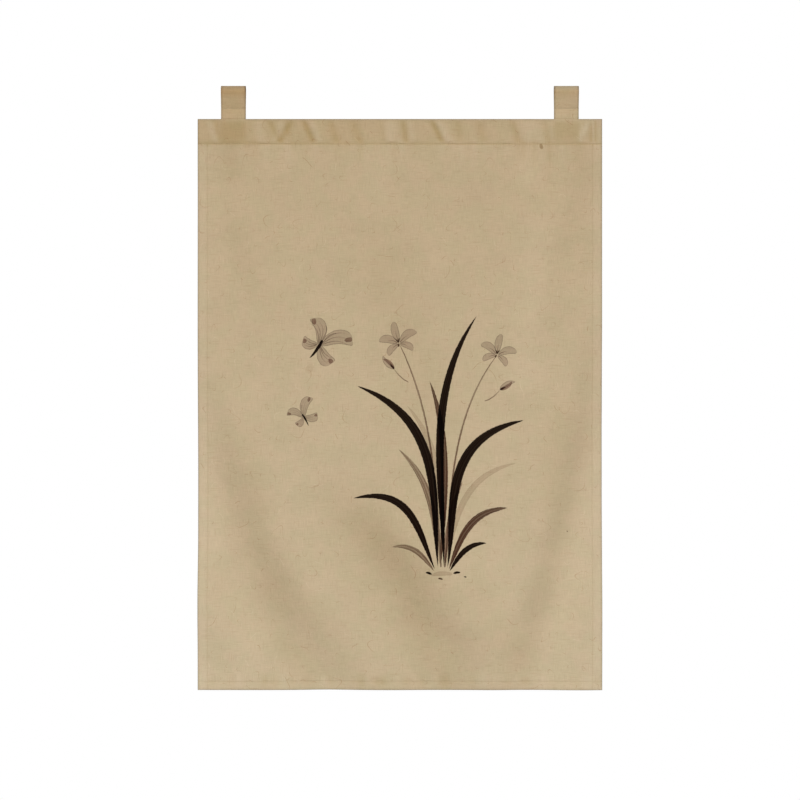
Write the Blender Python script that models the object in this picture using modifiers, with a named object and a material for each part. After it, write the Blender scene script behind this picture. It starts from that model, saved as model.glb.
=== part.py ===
"""A door curtain of one cloth, hanging from two strap loops at its top corners.

Metres, +Z up, the printed face towards -Y. The origin is midway between the two loops, on the line
along which they bear on top of a hanging rod.
"""

import math
from collections import namedtuple

import bmesh
import bpy

# The panel: one cloth with a deep heading hem, and narrow hems down its sides and along its foot.
PANEL_WIDTH = 0.850
PANEL_DROP = 1.200
CLOTH = 0.0012
HEM_LAYERS = 2
HEADING_DEPTH = 0.052
SIDE_HEM = 0.020
FOOT_HEM = 0.018

# The loops: each is a strap folded over the rod, sewn across under it and sewn to the heading's back.
LOOP_SPACING = 0.700
STRAP_WIDTH = 0.052
STRAP = 0.0016
LOOP_RISE = 0.070
LOOP_HEIGHT = 0.046
ROD_RADIUS = 0.010
STEM_DEPTH = 0.056
ARC_STEPS = 18

# Sewn pieces lie this far apart.
GAP = 0.0003

# Heights and depths that follow from those sizes.
LOOP_TOP = STRAP
HEADING_TOP = LOOP_TOP - LOOP_RISE
LOOP_SEAM = LOOP_TOP - LOOP_HEIGHT
STEM_FOOT = HEADING_TOP - STEM_DEPTH
FRONT_FACE = -(STRAP + GAP + HEM_LAYERS * CLOTH)

# The panel's grid: a hem ends in a narrow step, and the rows stand closer where the folds are deep.
HEM_STEP = 0.001
SHALLOW_DOWN_TO = 0.400
HEADING_ROWS = 2
SHALLOW_ROWS = 9
DEEP_ROWS = 32
COLUMNS = 40

# The folds in which the cloth hangs, a row for each. A fold is a curved line down the cloth, with a
# ridge along one side of it and a trough along the other. "x" is across from the panel's middle, and
# "down" is below its top edge. The line starts straight down and sweeps sideways towards its foot.
# Depth is the height of the ridge, width its distance from the line at the foot, and ridge is 1 where
# the ridge is on the line's right and -1 where it is on its left.
Fold = namedtuple("Fold", "top_x top_down foot_x foot_down sweep depth width ridge")
FOLDS = (
    Fold(-0.402, 0.440, -0.128, 1.158, 1.95, 0.0165, 0.060, 1),
    Fold(-0.090, 0.740, 0.179, 1.168, 1.3, 0.0170, 0.070, 1),
    Fold(0.400, 0.330, 0.238, 1.150, 1.9, 0.0125, 0.044, -1),
    Fold(-0.560, 0.480, -0.215, 1.180, 2.3, 0.0085, 0.050, -1),
    Fold(0.500, 0.420, 0.345, 1.180, 1.9, 0.0080, 0.046, 1),
    Fold(-0.392, 0.070, -0.292, 0.420, 1.2, 0.0045, 0.040, 1),
    Fold(0.372, 0.070, 0.300, 0.520, 1.1, 0.0045, 0.040, -1),
)
NARROWER_AT_TOP = 0.70
FULL_DEPTH_FROM = 0.45
EASES_FROM = 0.75
DEPTH_AT_FOOT = 0.40

# Linear colours of the undyed linen: the straps let no light through and look darker than the panel.
PANEL_COLOUR = (0.510, 0.398, 0.252, 1.0)
STRAP_COLOUR = (0.455, 0.335, 0.195, 1.0)
ROUGHNESS = 0.92


def eased(value):
    """Goes smoothly from 0 to 1 as value does, and stays there beyond."""
    held = min(1.0, max(0.0, value))
    return held * held * (3.0 - 2.0 * held)


def fold_height(fold, x, down):
    """How far one fold brings the cloth forward at a place on it."""
    length = fold.foot_down - fold.top_down
    along = (down - fold.top_down) / length
    if along <= 0.0:
        return 0.0
    run = fold.foot_x - fold.top_x
    line_x = fold.top_x + run * along**fold.sweep
    slant = run * fold.sweep * along ** (fold.sweep - 1.0) / length
    width = fold.width * (NARROWER_AT_TOP + (1.0 - NARROWER_AT_TOP) * along)
    off_line = fold.ridge * (x - line_x) / math.hypot(1.0, slant) / width
    easing_off = eased((along - EASES_FROM) / (1.0 - EASES_FROM))
    strength = eased(along / FULL_DEPTH_FROM) * (1.0 - (1.0 - DEPTH_AT_FOOT) * easing_off)
    return fold.depth * strength * off_line * math.exp(0.5 - 0.5 * off_line * off_line)


def drape(x, down):
    """How far all the folds together bring the cloth forward."""
    return sum(fold_height(fold, x, down) for fold in FOLDS)


def stations(marks, steps):
    """Places from the first mark to the last, each stretch between two marks cut into its own steps."""
    places = [marks[0]]
    for start, end, count in zip(marks, marks[1:], steps):
        places += [start + (end - start) * (step + 1) / count for step in range(count)]
    return places


def linen(name, colour):
    """A matt cloth material."""
    material = bpy.data.materials.new(name)
    material.use_nodes = True
    surface = material.node_tree.nodes["Principled BSDF"]
    surface.inputs["Base Color"].default_value = colour
    surface.inputs["Roughness"].default_value = ROUGHNESS
    surface.inputs["Metallic"].default_value = 0.0
    return material


def make_panel(collection):
    """The panel: a flat grid hung in its folds and thickened backwards, twice as thick at the hems."""
    side = PANEL_WIDTH / 2
    side_stitches = side - SIDE_HEM
    foot_stitches = PANEL_DROP - FOOT_HEM
    one_layer = side_stitches - HEM_STEP
    columns = stations((-side, -side_stitches, -one_layer, one_layer, side_stitches, side), (1, 1, COLUMNS, 1, 1))
    rows = stations(
        (0.0, HEADING_DEPTH, HEADING_DEPTH + HEM_STEP, SHALLOW_DOWN_TO, foot_stitches - HEM_STEP)
        + (foot_stitches, PANEL_DROP),
        (HEADING_ROWS, 1, SHALLOW_ROWS, DEEP_ROWS, 1, 1),
    )
    grid = bmesh.new()
    bmesh.ops.create_grid(grid, x_segments=len(columns) - 1, y_segments=len(rows) - 1, size=0.5)
    mesh = bpy.data.meshes.new("panel")
    grid.to_mesh(mesh)
    grid.free()
    panel = bpy.data.objects.new("panel", mesh)
    collection.objects.link(panel)

    hemmed = []
    for vertex in mesh.vertices:
        x = columns[round((0.5 + vertex.co.x) * (len(columns) - 1))]
        down = rows[round((0.5 - vertex.co.y) * (len(rows) - 1))]
        vertex.co = (x, FRONT_FACE - drape(x, down), HEADING_TOP - down)
        if abs(x) >= side_stitches or down <= HEADING_DEPTH or down >= foot_stitches:
            hemmed.append(vertex.index)
    panel.vertex_groups.new(name="hems").add(hemmed, 1.0, "REPLACE")

    layers = panel.modifiers.new("Cloth and hems", "SOLIDIFY")
    layers.thickness = HEM_LAYERS * CLOTH
    layers.offset = -1.0
    layers.vertex_group = "hems"
    layers.thickness_vertex_group = 1.0 / HEM_LAYERS
    mesh.shade_smooth()
    mesh.materials.append(linen("linen_panel", PANEL_COLOUR))


def loop_outlines():
    """A loop seen from its side, in (depth, height) points: its outside, and the hole for the rod.

    Both are round over the rod, and their sides then run straight to the seam. Below the seam the
    strap's two layers lie flat together.
    """
    centre = -ROD_RADIUS
    lean = math.asin(ROD_RADIUS / (centre - LOOP_SEAM))
    turn = math.pi + 2.0 * lean
    angles = [turn * step / ARC_STEPS - lean for step in range(ARC_STEPS + 1)]

    def over_rod(radius):
        return [(radius * math.cos(angle), centre + radius * math.sin(angle)) for angle in angles]

    parting = LOOP_SEAM + STRAP * (math.tan(lean / 2.0) * math.cos(lean) - math.sin(lean))
    front_edge = [(-STRAP, parting), (-STRAP, STEM_FOOT)]
    back_edge = [(STRAP, STEM_FOOT), (STRAP, parting)]
    outside = back_edge + over_rod(ROD_RADIUS + STRAP) + front_edge
    hole = [(0.0, LOOP_SEAM)] + over_rod(ROD_RADIUS)
    return outside, hole


def make_loop(name, middle_x, material, collection):
    """A strap loop: its side outline and hole, made as wide as the strap."""
    outline = bpy.data.curves.new(name, "CURVE")
    outline.dimensions = "2D"
    outline.fill_mode = "BOTH"
    outline.extrude = STRAP_WIDTH / 2
    for points in loop_outlines():
        edge = outline.splines.new("POLY")
        edge.points.add(len(points) - 1)
        for point, (depth, height) in zip(edge.points, points):
            point.co = (depth, height, 0.0, 1.0)
        edge.use_cyclic_u = True
    outline.materials.append(material)
    loop = bpy.data.objects.new(name, outline)
    loop.location = (middle_x, 0.0, 0.0)
    loop.rotation_euler = (math.pi / 2, 0.0, math.pi / 2)
    collection.objects.link(loop)


def main():
    for leftover in list(bpy.data.objects):
        bpy.data.objects.remove(leftover, do_unlink=True)
    curtain = bpy.data.collections.new("noren_curtain")
    bpy.context.scene.collection.children.link(curtain)
    make_panel(curtain)
    strap = linen("linen_strap", STRAP_COLOUR)
    for name, side in (("loop_left", -1), ("loop_right", 1)):
        make_loop(name, side * LOOP_SPACING / 2, strap, curtain)


main()
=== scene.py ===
import math
import random
from collections import namedtuple

import bpy
import numpy as np
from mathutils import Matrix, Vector


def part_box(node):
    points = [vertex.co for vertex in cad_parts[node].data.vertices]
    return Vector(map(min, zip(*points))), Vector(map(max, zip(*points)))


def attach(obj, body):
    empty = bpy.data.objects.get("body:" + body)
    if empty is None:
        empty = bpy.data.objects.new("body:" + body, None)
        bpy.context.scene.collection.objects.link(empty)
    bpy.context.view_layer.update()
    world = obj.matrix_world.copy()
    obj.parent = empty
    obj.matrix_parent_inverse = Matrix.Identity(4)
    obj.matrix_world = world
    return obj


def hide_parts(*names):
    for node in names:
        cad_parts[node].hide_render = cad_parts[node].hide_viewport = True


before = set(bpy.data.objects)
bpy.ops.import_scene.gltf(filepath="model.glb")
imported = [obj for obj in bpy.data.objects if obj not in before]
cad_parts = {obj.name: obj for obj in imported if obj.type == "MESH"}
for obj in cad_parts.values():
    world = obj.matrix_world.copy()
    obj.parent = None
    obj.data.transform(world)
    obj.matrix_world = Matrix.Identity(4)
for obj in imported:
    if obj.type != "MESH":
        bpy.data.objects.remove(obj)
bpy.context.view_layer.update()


# The lie of the cloth. The panel is one length of undyed linen that hangs from a loop near each top
# corner, so its middle is slack, and folds sweep in from its sides to its foot. The heading, side and
# foot hems are turned to the back and sewn down, which puckers them.
PANEL_WIDTH = 0.850
PANEL_DROP = 1.200
LAYER = 0.0011
HEM_THICKNESS = 0.0022
HEADING_DEPTH = 0.052
SIDE_HEM = 0.020
FOOT_HEM = 0.018
FRONT_FACE = -0.0043
EDGE_ROUNDNESS = 0.85
STITCH_GROOVE = 0.00045
GROOVE_WIDTH = 0.0008
LOOP_MIDDLE = 0.350
STRAP_WIDTH = 0.052
STRAP_END = 0.056
STRAP_BLEND = 0.003
STRAP_RELIEF = 0.0007

panel_low, panel_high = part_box("panel")
TOP_EDGE = panel_high.z
SIDE_STITCHES = PANEL_WIDTH / 2 - SIDE_HEM
FOOT_STITCHES = PANEL_DROP - FOOT_HEM

# The folds. Places on the cloth are "x", across from its middle, and "down", below its top edge. Each
# fold is a line that starts straight down the cloth and sweeps sideways towards its foot, with a ridge
# on its right where ridge is 1, or on its left where it is -1, and a trough on its other side.
Fold = namedtuple("Fold", "top_x top_down foot_x foot_down sweep depth width ridge")
FOLDS = (
    Fold(-0.402, 0.440, -0.128, 1.158, 1.95, 0.0165, 0.060, 1),
    Fold(-0.090, 0.740, 0.179, 1.168, 1.3, 0.0170, 0.070, 1),
    Fold(0.400, 0.330, 0.238, 1.150, 1.9, 0.0125, 0.044, -1),
    Fold(-0.560, 0.480, -0.215, 1.180, 2.3, 0.0085, 0.050, -1),
    Fold(0.500, 0.420, 0.345, 1.180, 1.9, 0.0080, 0.046, 1),
    Fold(-0.392, 0.070, -0.292, 0.420, 1.2, 0.0045, 0.040, 1),
    Fold(0.372, 0.070, 0.300, 0.520, 1.1, 0.0045, 0.040, -1),
)
NARROWER_AT_TOP = 0.70
FULL_DEPTH_FROM = 0.45
EASES_FROM = 0.75
DEPTH_AT_FOOT = 0.40

# Creases in the heading: where each is at the top edge and at the stitches, and how far it stands out.
Crease = namedtuple("Crease", "top_x foot_x depth width")
HEADING_CREASES = (
    Crease(-0.402, -0.384, 0.0016, 0.006),
    Crease(-0.389, -0.378, -0.0014, 0.004),
    Crease(-0.298, -0.292, 0.0013, 0.008),
    Crease(-0.276, -0.250, -0.0016, 0.005),
    Crease(-0.225, -0.256, -0.0022, 0.005),
    Crease(-0.239, -0.231, -0.0009, 0.004),
    Crease(-0.246, -0.262, 0.0014, 0.006),
    Crease(-0.203, -0.180, -0.0028, 0.005),
    Crease(-0.190, -0.168, 0.0015, 0.007),
    Crease(-0.147, -0.132, -0.0014, 0.006),
    Crease(-0.100, -0.084, -0.0013, 0.007),
    Crease(-0.040, -0.034, -0.0011, 0.006),
    Crease(0.007, 0.013, -0.0022, 0.005),
    Crease(0.018, 0.026, 0.0012, 0.006),
    Crease(0.066, 0.091, -0.0029, 0.005),
    Crease(0.079, 0.104, 0.0017, 0.007),
    Crease(0.120, 0.128, -0.0013, 0.006),
    Crease(0.166, 0.176, -0.0012, 0.007),
    Crease(0.236, 0.250, -0.0018, 0.006),
    Crease(0.304, 0.310, -0.0011, 0.005),
    Crease(0.400, 0.402, -0.0026, 0.003),
    Crease(0.401, 0.371, 0.0022, 0.005),
    Crease(0.410, 0.411, -0.0020, 0.003),
    Crease(0.405, 0.406, 0.0012, 0.003),
    Crease(-0.026, -0.018, 0.0014, 0.013),
    Crease(0.264, 0.284, 0.0011, 0.022),
)
CREASES_FROM_TOP = 0.010
CREASES_TO_SEAM = 0.006

# Soft bands of painted shade beside and between the folds, and of painted highlight where a band's
# shade is below zero: where each starts and ends, its width, and how much darker it is.
Band = namedtuple("Band", "top_x top_down foot_x foot_down width shade")
PAINTED_SHADE_BANDS = (
    Band(-0.052, 0.890, 0.120, 1.160, 0.044, 0.070),
    Band(-0.010, 0.860, 0.060, 1.250, 0.110, 0.065),
    Band(-0.285, 1.010, -0.195, 1.165, 0.030, 0.075),
    Band(0.290, 1.010, 0.255, 1.150, 0.026, 0.050),
    Band(-0.326, 0.660, -0.292, 0.820, 0.020, 0.045),
    Band(0.338, 0.620, 0.312, 0.800, 0.020, 0.060),
    Band(0.285, 0.230, 0.262, 0.540, 0.028, -0.050),
    Band(-0.400, 0.110, -0.375, 0.290, 0.020, -0.030),
    Band(-0.408, 0.640, -0.390, 0.900, 0.024, -0.050),
    Band(0.395, 0.760, 0.375, 0.960, 0.030, -0.040),
    Band(0.275, 0.055, 0.272, 0.120, 0.016, -0.060),
    Band(0.385, 0.060, 0.402, 0.110, 0.026, 0.050),
    Band(-0.358, 0.062, -0.350, 0.105, 0.020, 0.070),
    Band(-0.055, 0.060, -0.050, 0.140, 0.022, -0.030),
    Band(0.085, 1.030, 0.190, 1.120, 0.022, -0.055),
    Band(0.030, 1.060, 0.075, 1.150, 0.030, 0.045),
    Band(0.170, 1.000, 0.205, 1.050, 0.028, 0.050),
    Band(-0.235, 1.120, -0.120, 1.150, 0.030, 0.045),
    Band(-0.040, 0.310, 0.070, 0.600, 0.045, 0.050),
)

# The gathers that sewing draws into the cloth beside a seam, and the slow unevenness of washed linen.
Gather = namedtuple("Gather", "place depth width reach")
Wave = namedtuple("Wave", "across down start height")
GATHER_SPACING = 0.019
GATHER_WIDTHS = (0.0035, 0.0075)
TIGHTER_ABOVE_SEAM = 3.0
FLAT_BESIDE_SEAM = 0.004
WAVE_LENGTHS = (0.070, 0.240)
WAVE_HEIGHT = 0.00042
WAVES_FULL_BELOW = 0.12
WAVES = 16
draws = random.Random(11)


def seam_gathers(length, depth, reach):
    """Gathers at uneven places along a seam of that length, measured from its start."""
    count = int(length / GATHER_SPACING)
    return [
        Gather(
            length * (number + draws.uniform(0.1, 0.9)) / count,
            depth * draws.uniform(-1.0, 0.7),
            draws.uniform(*GATHER_WIDTHS),
            reach * draws.uniform(0.4, 1.6),
        )
        for number in range(count)
    ]


HEADING_GATHERS = seam_gathers(PANEL_WIDTH, depth=0.00130, reach=0.026)
FOOT_GATHERS = seam_gathers(PANEL_WIDTH, depth=0.00140, reach=0.009)
LEFT_GATHERS = seam_gathers(PANEL_DROP, depth=0.00035, reach=0.009)
RIGHT_GATHERS = seam_gathers(PANEL_DROP, depth=0.00035, reach=0.009)


def slow_wave():
    """One gentle wave across the cloth, in a direction of its own."""
    heading = draws.uniform(0.0, math.pi)
    turns = 2.0 * math.pi / draws.uniform(*WAVE_LENGTHS)
    height = WAVE_HEIGHT * draws.uniform(0.4, 1.0)
    return Wave(turns * math.cos(heading), turns * math.sin(heading), draws.uniform(0.0, 6.3), height)


UNEVENNESS = [slow_wave() for _ in range(WAVES)]


def eased(value):
    """Goes smoothly from 0 to 1 as value does, and stays there beyond."""
    held = np.clip(value, 0.0, 1.0)
    return held * held * (3.0 - 2.0 * held)


def fading(distance, reach):
    """1 at no distance, fading softly to 0 at the reach."""
    return 1.0 - eased(distance / reach)


def bell(distance, width):
    """1 on a line, falling softly to 0 within about three widths of it."""
    return np.exp(-0.5 * (distance / width) ** 2)


def fold_height(fold, x, down):
    """How far one fold brings the cloth forward: a ridge beside its line and a trough beyond it."""
    length = fold.foot_down - fold.top_down
    along = np.maximum((down - fold.top_down) / length, 0.0)
    run = fold.foot_x - fold.top_x
    line_x = fold.top_x + run * along**fold.sweep
    slant = run * fold.sweep * along ** (fold.sweep - 1.0) / length
    width = fold.width * (NARROWER_AT_TOP + (1.0 - NARROWER_AT_TOP) * along)
    off_line = fold.ridge * (x - line_x) / np.hypot(1.0, slant) / width
    easing_off = eased((along - EASES_FROM) / (1.0 - EASES_FROM))
    strength = eased(along / FULL_DEPTH_FROM) * (1.0 - (1.0 - DEPTH_AT_FOOT) * easing_off)
    return fold.depth * strength * off_line * np.exp(0.5 - 0.5 * off_line * off_line)


def gather_height(gathers, place, off_seam):
    """How far the gathers along a seam bring the cloth forward, dying away off the seam."""
    height = np.zeros_like(place)
    for gather in gathers:
        height += gather.depth * bell(place - gather.place, gather.width) * bell(off_seam, gather.reach)
    return height


def creases(x, down):
    """How far forward the heading's creases and the gathers beside every seam stand."""
    height = np.zeros_like(x)
    for crease in HEADING_CREASES:
        line_x = crease.top_x + (crease.foot_x - crease.top_x) * down / HEADING_DEPTH
        height += crease.depth * bell(x - line_x, crease.width)
    height *= eased(down / CREASES_FROM_TOP) * eased((HEADING_DEPTH - down) / CREASES_TO_SEAM)
    off_seam = np.abs(down - HEADING_DEPTH) * np.where(down > HEADING_DEPTH, 1.0, TIGHTER_ABOVE_SEAM)
    gathered = gather_height(HEADING_GATHERS, x + PANEL_WIDTH / 2, off_seam)
    height += gathered * eased(off_seam / FLAT_BESIDE_SEAM)
    height += gather_height(FOOT_GATHERS, x + PANEL_WIDTH / 2, down - FOOT_STITCHES)
    height += gather_height(LEFT_GATHERS, down, x + SIDE_STITCHES)
    height += gather_height(RIGHT_GATHERS, down, x - SIDE_STITCHES)
    return height


def painted_band_shade(band, x, down):
    """How much painted shade, or painted highlight, one band lays on the cloth."""
    run, drop = band.foot_x - band.top_x, band.foot_down - band.top_down
    ahead = (x - band.top_x) * run + (down - band.top_down) * drop
    along = np.clip(ahead / (run * run + drop * drop), 0.0, 1.0)
    away = np.hypot(x - band.top_x - run * along, down - band.top_down - drop * along)
    return band.shade * bell(away, band.width)


def facing_down(x, down):
    """How steeply the folds turn the cloth to the floor, were they a little broader than they are."""
    step, broader = 0.002, 1.35
    broad = [fold._replace(width=fold.width * broader) for fold in FOLDS]
    above, below = (sum(fold_height(fold, x, down + way * step) for fold in broad) for way in (-0.5, 0.5))
    return np.maximum((above - below) / step, 0.0)


def over_strap(x, down, softness=STRAP_BLEND):
    """1 where a strap's end lies behind the heading, and 0 elsewhere."""
    beside = np.abs(np.abs(x) - LOOP_MIDDLE) - STRAP_WIDTH / 2 + softness / 2
    below = down - STRAP_END + softness - STRAP_BLEND
    return fading(beside, softness) * fading(below, softness)


def cloth_height(x, down):
    """How far forward of the flat heading the cloth hangs."""
    height = sum(fold_height(fold, x, down) for fold in FOLDS)
    for wave in UNEVENNESS:
        swell = np.sin(wave.across * x + wave.down * down + wave.start)
        height = height + wave.height * swell * eased((down - HEADING_DEPTH) / WAVES_FULL_BELOW)

    strap = over_strap(x, down)
    return height + creases(x, down) * (1.0 - strap) + STRAP_RELIEF * strap


def hem_share(x, down):
    """1 where the cloth is turned double, falling to 0 over the rounded edge of the turned layer."""
    beyond = 0.0024
    round_edge = 0.0010
    side = eased((np.abs(x) - SIDE_STITCHES + beyond) / round_edge)
    heading = eased((HEADING_DEPTH + beyond - down) / round_edge)
    foot = eased((down - FOOT_STITCHES + beyond) / round_edge)
    return np.maximum(side, np.maximum(heading, foot))


def off_stitches(x, down):
    """The distance to the nearest line of stitches. The side hems run up under the heading's."""
    off_side = np.where(down > HEADING_DEPTH, np.abs(np.abs(x) - SIDE_STITCHES), 1.0)
    return np.minimum(off_side, np.minimum(np.abs(down - HEADING_DEPTH), np.abs(down - FOOT_STITCHES)))


def from_edge(x, down):
    """The distance to the panel's nearest edge."""
    return np.minimum(PANEL_WIDTH / 2 - np.abs(x), np.minimum(down, PANEL_DROP - down))


def rounded_off(off_edge, radius):
    """How far a cloth's face falls back where its edge is rounded."""
    inwards = np.clip(radius - off_edge, 0.0, radius)
    return EDGE_ROUNDNESS * (radius - np.sqrt(radius * radius - inwards * inwards))


def faces_of_cloth(x, down):
    """Where the cloth's front and back are, measured along y."""
    drawn_in = STITCH_GROOVE * bell(off_stitches(x, down), GROOVE_WIDTH)
    thickness = LAYER + (HEM_THICKNESS - LAYER) * hem_share(x, down)
    rounding = rounded_off(from_edge(x, down), HEM_THICKNESS / 2)
    front = FRONT_FACE - cloth_height(x, down)
    return front + drawn_in + rounding, front + thickness - drawn_in - rounding


# The picture printed on the panel. It is brushed in black ink and thinned mauve and brown washes:
# a clump of orchid leaves with two flower stems, and two butterflies.
MM = 0.001
CLUMP_X = 0.088
CLUMP_DOWN = 0.945
Ink = namedtuple("Ink", "colour strength rim dryness")
BLACK = Ink((0.012, 0.004, 0.002), 1.00, 0.20, 0.02)
UMBER = Ink((0.095, 0.034, 0.024), 0.98, 0.30, 0.16)
BROWN = Ink((0.200, 0.115, 0.100), 0.90, 0.35, 0.40)
MAUVE = Ink((0.360, 0.235, 0.230), 0.85, 0.50, 0.20)
WASH = Ink((0.560, 0.500, 0.520), 0.62, 0.85, 0.10)
HAZE = Ink((0.500, 0.400, 0.360), 0.42, 0.25, 0.25)
SMUDGE = Ink((0.560, 0.520, 0.400), 0.18, 0.00, 0.30)
BURR = Ink((0.530, 0.445, 0.330), 0.70, 0.00, 0.10)

# The strokes, a row for each: where it starts and ends in mm from the clump's foot, its bend to the left
# as a share of its length, how far the bend moves to its end, half its width in mm, where it is widest,
# how pointed it is, and its ink.
Stroke = namedtuple("Stroke", "x y end_x end_y bend swing width widest taper ink")
LEAVES = (
    Stroke(-6, 8, -74, 344, -0.10, 0.4, 7.0, 0.56, 1.4, HAZE),
    Stroke(8, 6, 156, 222, 0.17, 0.4, 7.0, 0.56, 1.4, HAZE),
    Stroke(-2, 6, -26, 396, -0.05, 0.5, 8.0, 0.54, 1.5, UMBER),
    Stroke(-8, 2, -178, 384, -0.17, 0.5, 10.2, 0.58, 1.5, BLACK),
    Stroke(4, 2, 74, 532, 0.08, 0.6, 9.0, 0.54, 1.5, BLACK),
    Stroke(11, 0, 172, 312, 0.19, 0.6, 10.6, 0.58, 1.5, BLACK),
    Stroke(-14, -2, -186, 148, -0.23, 0.5, 8.4, 0.56, 1.4, BLACK),
    Stroke(-9, 4, -92, 252, -0.11, 0.3, 7.5, 0.54, 1.5, BROWN),
    Stroke(14, -2, 138, 128, 0.17, 0.4, 8.0, 0.56, 1.4, UMBER),
    Stroke(16, -5, 94, 54, 0.15, 0.3, 6.0, 0.55, 1.3, BLACK),
    Stroke(-16, -5, -104, 46, -0.17, 0.3, 6.0, 0.55, 1.3, BROWN),
    Stroke(6, 2, 44, 184, 0.05, 0.2, 6.0, 0.52, 1.4, MAUVE),
)
STEMS = (
    Stroke(-2, 4, -88, 470, -0.05, 0.4, 2.6, 0.30, 0.30, BROWN),
    Stroke(6, 4, 114, 446, 0.07, 0.5, 2.5, 0.30, 0.30, BROWN),
    Stroke(-70, 392, -100, 420, 0.08, 0.0, 1.6, 0.40, 0.40, BROWN),
    Stroke(90, 352, 122, 376, -0.08, 0.0, 1.6, 0.40, 0.40, BROWN),
)
ROOT_DABS = (
    Stroke(-22, -13, 22, -11, 0.06, 0.0, 5.0, 0.50, 0.9, HAZE),
    Stroke(-34, -7, -21, -11, 0.05, 0.0, 3.0, 0.50, 0.8, BLACK),
    Stroke(24, -9, 39, -7, 0.05, 0.0, 3.2, 0.50, 0.8, BLACK),
    Stroke(-8, -20, 2, -21, 0.05, 0.0, 2.4, 0.50, 0.8, UMBER),
    Stroke(46, -16, 52, -17, 0.05, 0.0, 1.8, 0.50, 0.8, BLACK),
)

# An orchid flower's petals and the dabs of its heart: the way each points in degrees, its length and
# half width in mm, and its bend.
PETAL_SWING = 0.2
Petal = namedtuple("Petal", "turn reach width bend")
PETALS = (
    Petal(92, 46, 8.5, 0.05),
    Petal(22, 44, 9.0, 0.14),
    Petal(160, 42, 9.0, -0.14),
    Petal(-36, 33, 7.5, 0.12),
    Petal(216, 34, 7.5, -0.12),
)
HEART_DABS = (Petal(75, 11, 2.0, 0.05), Petal(120, 10, 1.9, -0.05), Petal(250, 8, 2.4, 0.0))


def ray(x, y, turn, reach, away, bend, width, widest, taper, ink):
    """A stroke that leaves a point in a direction given in degrees."""
    across, up = math.cos(math.radians(turn)), math.sin(math.radians(turn))
    start = (x + away * across, y + away * up)
    end = (x + reach * across, y + reach * up)
    return Stroke(*start, *end, bend, PETAL_SWING, width, widest, taper, ink)


def blossom(x, y, turn, size):
    """An open orchid flower: five narrow petals and the dark dabs of its heart."""
    petals, veins = [], []
    for petal in PETALS:
        lean, reach, bend = petal.turn + turn, petal.reach * size, petal.bend
        petals.append(ray(x, y, lean, reach, 2.5, bend, petal.width * size, 0.56, 1.05, WASH))
        veins.append(ray(x, y, lean, reach * 0.66, 3.0, bend, 1.2, 0.20, 0.9, MAUVE))
    heart = [
        ray(x, y, dab.turn + turn, dab.reach * size, 0.0, dab.bend, dab.width, 0.6, 0.9, UMBER)
        for dab in HEART_DABS
    ]
    return petals + veins + heart


def bud(x, y, turn):
    """A closed flower: two petals lapped over each other, and its dark sheath."""
    return [
        ray(x, y, turn, 36, 0.0, 0.10, 5.6, 0.45, 0.9, WASH),
        ray(x, y, turn + 6, 31, 0.0, -0.10, 4.4, 0.45, 0.9, MAUVE),
        ray(x, y, turn - 4, 14, 0.0, 0.05, 2.4, 0.35, 0.9, UMBER),
    ]


# A butterfly's wings: the way each points from a body that heads straight up, its length and half
# width in mm, and its bend. The near pair is drawn longer than the far pair, as in flight.
Wing = namedtuple("Wing", "turn reach width bend")
WINGS = (
    Wing(42, 62, 13.5, 0.16),
    Wing(-22, 41, 12.5, -0.14),
    Wing(134, 50, 11.5, -0.18),
    Wing(196, 31, 10.0, 0.16),
)


def butterfly(x, y, turn, size):
    """A butterfly in flight: four washed wings with veins and dark tips, its body and its feelers."""
    strokes = []
    for wing in WINGS:
        lean, reach, width = wing.turn + turn, wing.reach * size, wing.width * size
        strokes.append(ray(x, y, lean, reach, 1.5 * size, wing.bend, width, 0.68, 0.85, WASH))
        for spread in (-10, 3, 14):
            vein = (x, y, lean + spread, reach * 0.88, 4.0 * size, wing.bend, size, 0.3, 0.5, BROWN)
            strokes.append(ray(*vein))
        strokes.append(ray(x, y, lean + 2, reach * 0.99, reach * 0.76, 0.0, 4.6 * size, 0.65, 0.7, MAUVE))
    strokes.append(ray(x, y, turn + 268, 30 * size, -11 * size, 0.04, 3.4 * size, 0.30, 0.8, BLACK))
    for spread, bend in ((-20, 0.14), (16, -0.14)):
        strokes.append(ray(x, y, turn + 88 + spread, 38 * size, 9 * size, bend, 0.9 * size, 0.9, 0.2, UMBER))
    return strokes


CLUMP = [
    *LEAVES[:2],
    *STEMS,
    *LEAVES[2:],
    *blossom(-90, 474, 12, 1.0),
    *blossom(116, 450, -14, 0.95),
    *bud(-100, 420, 132),
    *bud(122, 376, 28),
    *ROOT_DABS,
]
BUTTERFLIES = [*butterfly(-258, 470, -34, 1.15), *butterfly(-290, 318, 30, 0.72)]

# Flecks in the cloth: a burr caught under the heading seam, a dark speck and a faint smudge.
FLECKS = (
    Stroke(207, 893, 211, 882, 0.0, 0.0, 4.2, 0.55, 0.8, BURR),
    Stroke(263, 79, 266, 77, 0.0, 0.0, 1.6, 0.50, 0.7, BROWN),
    Stroke(-272, 430, -284, 410, 0.0, 0.0, 8.0, 0.50, 0.9, SMUDGE),
)


def stroke_line(stroke, share):
    """A place on a stroke's middle line, in metres on the cloth."""
    start = Vector((stroke.x, stroke.y))
    chord = Vector((stroke.end_x, stroke.end_y)) - start
    side = 4.0 * stroke.bend * share * (1.0 - share) * (1.0 + stroke.swing * (2.0 * share - 1.0))
    place = start + chord * share + Vector((-chord.y, chord.x)) * side
    return Vector((CLUMP_X, -CLUMP_DOWN)) + place * MM


def reach_of(strokes):
    """The lowest and highest corner of the cloth that strokes cover."""
    margin = 0.004
    places = [stroke_line(stroke, step / 8) for stroke in strokes for step in range(9)]
    widest = max(stroke.width for stroke in strokes) * MM + margin
    low = (min(place.x for place in places) - widest, min(place.y for place in places) - widest)
    high = (max(place.x for place in places) + widest, max(place.y for place in places) + widest)
    return low, high


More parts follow.
